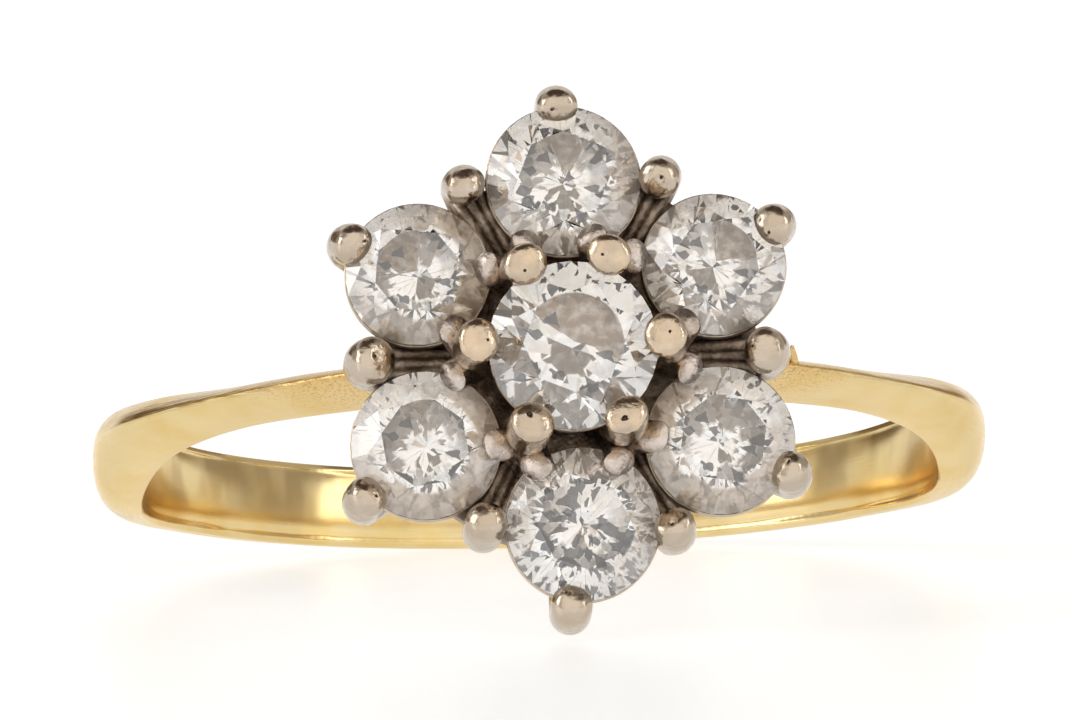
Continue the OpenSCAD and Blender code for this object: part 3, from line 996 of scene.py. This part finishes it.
# %% Collets
COLLET_DEPTH, CENTRE_COLLET_DEPTH = 1.55, 2.3
OUTER_LIP, CENTRE_LIP = 0.03, -0.02
# Up the cup's outside from its foot and down its inside, as shares of its radius and its depth
CUP_OUTSIDE = [(0.61, 1.0), (0.72, 0.87), (0.88, 0.66), (0.97, 0.40), (1.0, 0.20), (1.0, 0.05)]
CUP_INSIDE = [(0.97, 0.05), (0.90, 0.20), (0.62, 0.62), (0.42, 0.87), (0.40, 1.0)]
CUP_STEPS = 72
AT_CENTRE_STONE = Matrix.Translation((0, 0, CENTRE_H))


def at_outer_stone(row):
    """The place of an outer stone, which leans outwards a little."""
    return (
        Matrix.Rotation(math.radians(row[ANGLE]), 4, "Z")
        @ Matrix.Translation((row[DISTANCE], 0, OUTER_H))
        @ Matrix.Rotation(math.radians(OUTER_TILT), 4, "Y")
    )


def add_collet(bm, radius, depth, matrix):
    """Adds a cup of a radius and a depth at the place that matrix gives."""
    points = [(radius * share, -depth * down) for share, down in CUP_OUTSIDE + CUP_INSIDE]
    bmesh.ops.transform(bm, matrix=matrix, verts=spin_profile(bm, points, CUP_STEPS))


bm = bmesh.new()
for row in OUTER:
    add_collet(bm, row[DIAMETER] / 2 + OUTER_LIP, COLLET_DEPTH, at_outer_stone(row))
add_collet(bm, CENTRE_D / 2 + CENTRE_LIP, CENTRE_COLLET_DEPTH, AT_CENTRE_STONE)
collets = finish_piece(bm, "collets", HEAD_TO_ROOM, [white_gold])
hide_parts("setting")

# %% [markdown]
# ### Plate, bars and gallery ring
# All seven collets stand on a round plate, drilled under each stone to let light in. Inset and
# deleted faces could make such holes only where the mesh has faces of that shape, so a Boolean
# modifier takes the seats out of the plate. Grooved bars, each of three thin wires, run from the
# claws between the stones in to the centre, and spokes carry it all on the gallery ring. Most of
# this is deep in shadow.

# %% Drilling
# The seat of a stone and the light hole under it, outwards and upwards as shares of its radius
SEAT_PROFILE = [(0, 0.3), (1.03, 0.3), (1.03, -0.03), (0.34, -0.68), (0.34, -1.6), (0, -1.6)]
SEAT_STEPS = 48
NEAR_AXIS = 0.002


def seat_cutters():
    """A bmesh of all that is taken out of the plate for the seven stones."""
    cutters = bmesh.new()
    places = [(row[DIAMETER], at_outer_stone(row)) for row in OUTER]
    places.append((CENTRE_D, AT_CENTRE_STONE))
    for diameter, matrix in places:
        seat = bmesh.new()
        radius = diameter / 2
        points = [(max(r, NEAR_AXIS) * radius, h * radius) for r, h in SEAT_PROFILE]
        spin_profile(seat, points, SEAT_STEPS)
        bmesh.ops.transform(seat, matrix=matrix, verts=seat.verts)
        add_part(cutters, seat)
    return cutters


def drilled(bm, cutters):
    """A bmesh of bm with the cutters taken out of it."""
    for part in (bm, cutters):
        bmesh.ops.recalc_face_normals(part, faces=part.faces)
    blank = add_object("blank", as_mesh(bm, "blank"))
    cutter = add_object("cutter", as_mesh(cutters, "cutter"))
    cut = blank.modifiers.new("cut", "BOOLEAN")
    cut.object = cutter
    cut.operation = "DIFFERENCE"
    cut.solver = "EXACT"
    result = bmesh.new()
    result.from_object(blank, bpy.context.evaluated_depsgraph_get())
    for each in (blank, cutter):
        mesh = each.data
        bpy.data.objects.remove(each)
        bpy.data.meshes.remove(mesh)
    return result


# %% Plate and gallery ring
PLATE_R, PLATE_T, PLATE_H = 3.95, 0.5, OUTER_H - 1.25
PLATE_STEPS = 96
EDGE_ROUND = 0.1
EDGE_MIDDLE = 0.3 * EDGE_ROUND


def add_band(bm, inner_r, outer_r, low, high):
    """Adds a flat ring with rounded edges."""
    corners = (
        (inner_r, low, 1, 1), (outer_r, low, -1, 1), (outer_r, high, -1, -1), (inner_r, high, 1, -1)
    )
    points = []
    for k, (r, h, x, y) in enumerate(corners):
        near = [
            (r, h + y * EDGE_ROUND),
            (r + x * EDGE_MIDDLE, h + y * EDGE_MIDDLE),
            (r + x * EDGE_ROUND, h),
        ]
        points += near if k % 2 == 0 else near[::-1]
    spin_profile(bm, points, PLATE_STEPS)


bm = bmesh.new()
bmesh.ops.create_cone(
    bm, cap_ends=True, segments=PLATE_STEPS, radius1=PLATE_R, radius2=PLATE_R, depth=PLATE_T,
    matrix=Matrix.Translation((0, 0, PLATE_H + PLATE_T / 2)),
)
bm = drilled(bm, seat_cutters())
add_band(
    bm, GALLERY_R - GALLERY_W / 2, GALLERY_R + GALLERY_W / 2,
    GALLERY_H - GALLERY_T / 2, GALLERY_H + GALLERY_T / 2,
)
print("the drilled plate and the gallery ring have", len(bm.faces), "faces")

# %% Bars and spokes
BAR_R, BAR_SPACING, BAR_NARROWING = 0.14, 0.25, 0.6
BAR_OUT_H, BAR_IN_H = OUTER_H - 0.35, OUTER_H - 0.75
SPOKE_R = 0.24

for row in OUTER:
    shared_angle, shared_distance = row[SHARED_CLAW]
    centre_angle = row[CENTRE_CLAW][0]
    start = polar(shared_angle, shared_distance, BAR_OUT_H)
    end = polar(centre_angle, ROOT_R, BAR_IN_H)
    beside = (end - start).cross(Vector((0, 0, 1))).normalized() * BAR_SPACING
    for k in (-1, 0, 1):
        add_bar(bm, start + beside * k, end + beside * k * BAR_NARROWING, BAR_R)
    foot = polar(shared_angle, GALLERY_R, GALLERY_H)
    add_bar(bm, polar(centre_angle, ROOT_R, ROOT_H), foot, SPOKE_R)
frame_work = finish_piece(bm, "plate_and_gallery", HEAD_TO_ROOM, [white_gold])
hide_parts("setting")

# %% [markdown]
# ## The stones
# Seven round brilliants: one raised in the middle and six round it. They could be modelled again,
# but the solids already have the true flat facets, and any rounding would spoil their sparkle. So
# the stones keep their meshes, and each gets only its material.

# %% Give each stone its material
# For each stone the middle and half-width of its painted table reflection and the thick side of its
# haze, in degrees, how thick the haze gets, and the share of painted dark kites
CENTRE_LOOK = (60, 84, -130, 0.3, 0.08)
OUTER_LOOKS = [
    (88, 36, -60, 0.75, 0.10),
    (45, 46, -150, 0.65, 0.08),
    (100, 10, -140, 1.0, 0.08),
    (-95, 14, 70, 0.65, 0.40),
    (100, 24, -50, 1.0, 0.05),
    (135, 45, -30, 1.0, 0.07),
]


def dress_stone(name, diameter, head_place, look):
    """Gives a stone's solid a material whose coordinates start at head_place, its middle."""
    node = frame["nodes"][name]
    material = stone_material(
        "diamond_" + name, HEAD_TO_ROOM @ Matrix.Translation(head_place), diameter / 2, *look
    )
    node.data.materials.clear()
    node.data.materials.append(material)
    print(name, "has its own diamond material")


dress_stone("centre_stone", CENTRE_D, Vector((0, 0, CENTRE_H)), CENTRE_LOOK)
for i, (row, look) in enumerate(zip(OUTER, OUTER_LOOKS), start=1):
    head_place = polar(row[ANGLE], row[DISTANCE], OUTER_H)
    dress_stone(f"outer_stone_{i}", row[DIAMETER], head_place, look)

# %% [markdown]
# ## Floor
# The ring lies on a pale sheet. Lamps strong enough to make it as pale as in the photograph would
# burn out the stones, so the sheet glows a little by itself.

# %% Floor
FLOOR_HALF = 3.0
FLOOR_COLOUR, FLOOR_ROUGHNESS = (0.58, 0.60, 0.62), 0.35
GLOW_COLOUR, GLOW = (1, 1, 1), 0.57

bm = bmesh.new()
bmesh.ops.create_grid(bm, x_segments=1, y_segments=1, size=FLOOR_HALF)
floor = add_object("floor", as_mesh(bm, "floor"))
pale, tree, shader = new_material("pale_floor")
shader.inputs["Base Color"].default_value = (*FLOOR_COLOUR, 1)
shader.inputs["Roughness"].default_value = FLOOR_ROUGHNESS
shader.inputs["Emission Color"].default_value = (*GLOW_COLOUR, 1)
shader.inputs["Emission Strength"].default_value = GLOW
floor.data.materials.append(pale)
print(f"floor {2 * FLOOR_HALF} m square")

# %% [markdown]
# ## Light
# Metal and diamonds show the room round them, so the room needs dark places as well as bright ones.
# A photographer would hang cloth and card round the ring. Here the world's colour changes with the
# direction instead: pale cloth in front and behind, a dark ceiling, and brown corners.

# %% The room's light, as soft patches of colour by direction
WALLS, PALE_HORIZON = (0.50, 0.46, 0.42), (0.97, 0.965, 0.96)
# How far up the pale horizon is full, and where it ends, as the sine of the elevation
HORIZON = (0.05, 0.12)
# name, azimuth, elevation, angle where the patch is full, angle where it ends, colour
ROOM_PATCHES = [
    ("bright back", 180, 12, 30, 60, (0.84, 0.82, 0.79)),
    ("warm front", 0, 20, 32, 58, (1.14, 1.09, 1.02)),
    ("dark ceiling", 180, 86, 26, 44, (0.09, 0.065, 0.05)),
    ("brown corner left", -142, 14, 10, 22, (0.16, 0.11, 0.07)),
    ("brown corner right", 142, 14, 8, 18, (0.30, 0.22, 0.15)),
]

world = bpy.data.worlds.new("studio")
world.use_nodes = True
bpy.context.scene.world = world
tree = world.node_tree
direction = add_node(tree, "ShaderNodeTexCoord").outputs["Generated"]
colour = WALLS
for name, azimuth, elevation, full, ends, patch in ROOM_PATCHES:
    closeness = add_node(
        tree, "ShaderNodeVectorMath", {"operation": "DOT_PRODUCT", "label": name},
        {0: direction, 1: from_ring(azimuth, elevation)},
    ).outputs["Value"]
    share = remap(tree, closeness, math.cos(math.radians(ends)), math.cos(math.radians(full)))
    colour = blend_colours(tree, share, colour, patch)
upwards = split(tree, direction)["Z"]
colour = blend_colours(tree, remap(tree, upwards, *HORIZON, 1, 0), colour, PALE_HORIZON)
tree.links.new(colour, tree.nodes["Background"].inputs["Color"])
bpy.context.scene.view_settings.view_transform = "Standard"
print("room with", len(ROOM_PATCHES), "patches of light and dark")

# %% [markdown]
# Two softboxes give the long bright streaks on the gold and the glints in the stones. An area lamp
# is such a box, and its size is given as the ring sees it, in degrees.

# %% Softboxes
SOFTBOX_DISTANCE = 0.5


def softbox(name, azimuth, elevation, width, height, brightness):
    """A lamp that faces the ring, with its sides in degrees as the ring sees them."""
    lamp = bpy.data.lights.new(name, "AREA")
    lamp.shape = "RECTANGLE"
    lamp.size, lamp.size_y = (math.radians(side) * SOFTBOX_DISTANCE for side in (width, height))
    lamp.energy = brightness * math.pi * lamp.size * lamp.size_y
    light = add_object(name, lamp)
    way = from_ring(azimuth, elevation)
    light.location = way * SOFTBOX_DISTANCE
    light.rotation_euler = (-way).to_track_quat("-Z", "Y").to_euler()
    print(f"{name}: {width} by {height} degrees, {lamp.energy:.2f} W")


softbox("left_softbox", azimuth=-76, elevation=26, width=28, height=38, brightness=2.3)
softbox("right_softbox", azimuth=63.5, elevation=22, width=11, height=34, brightness=2.2)
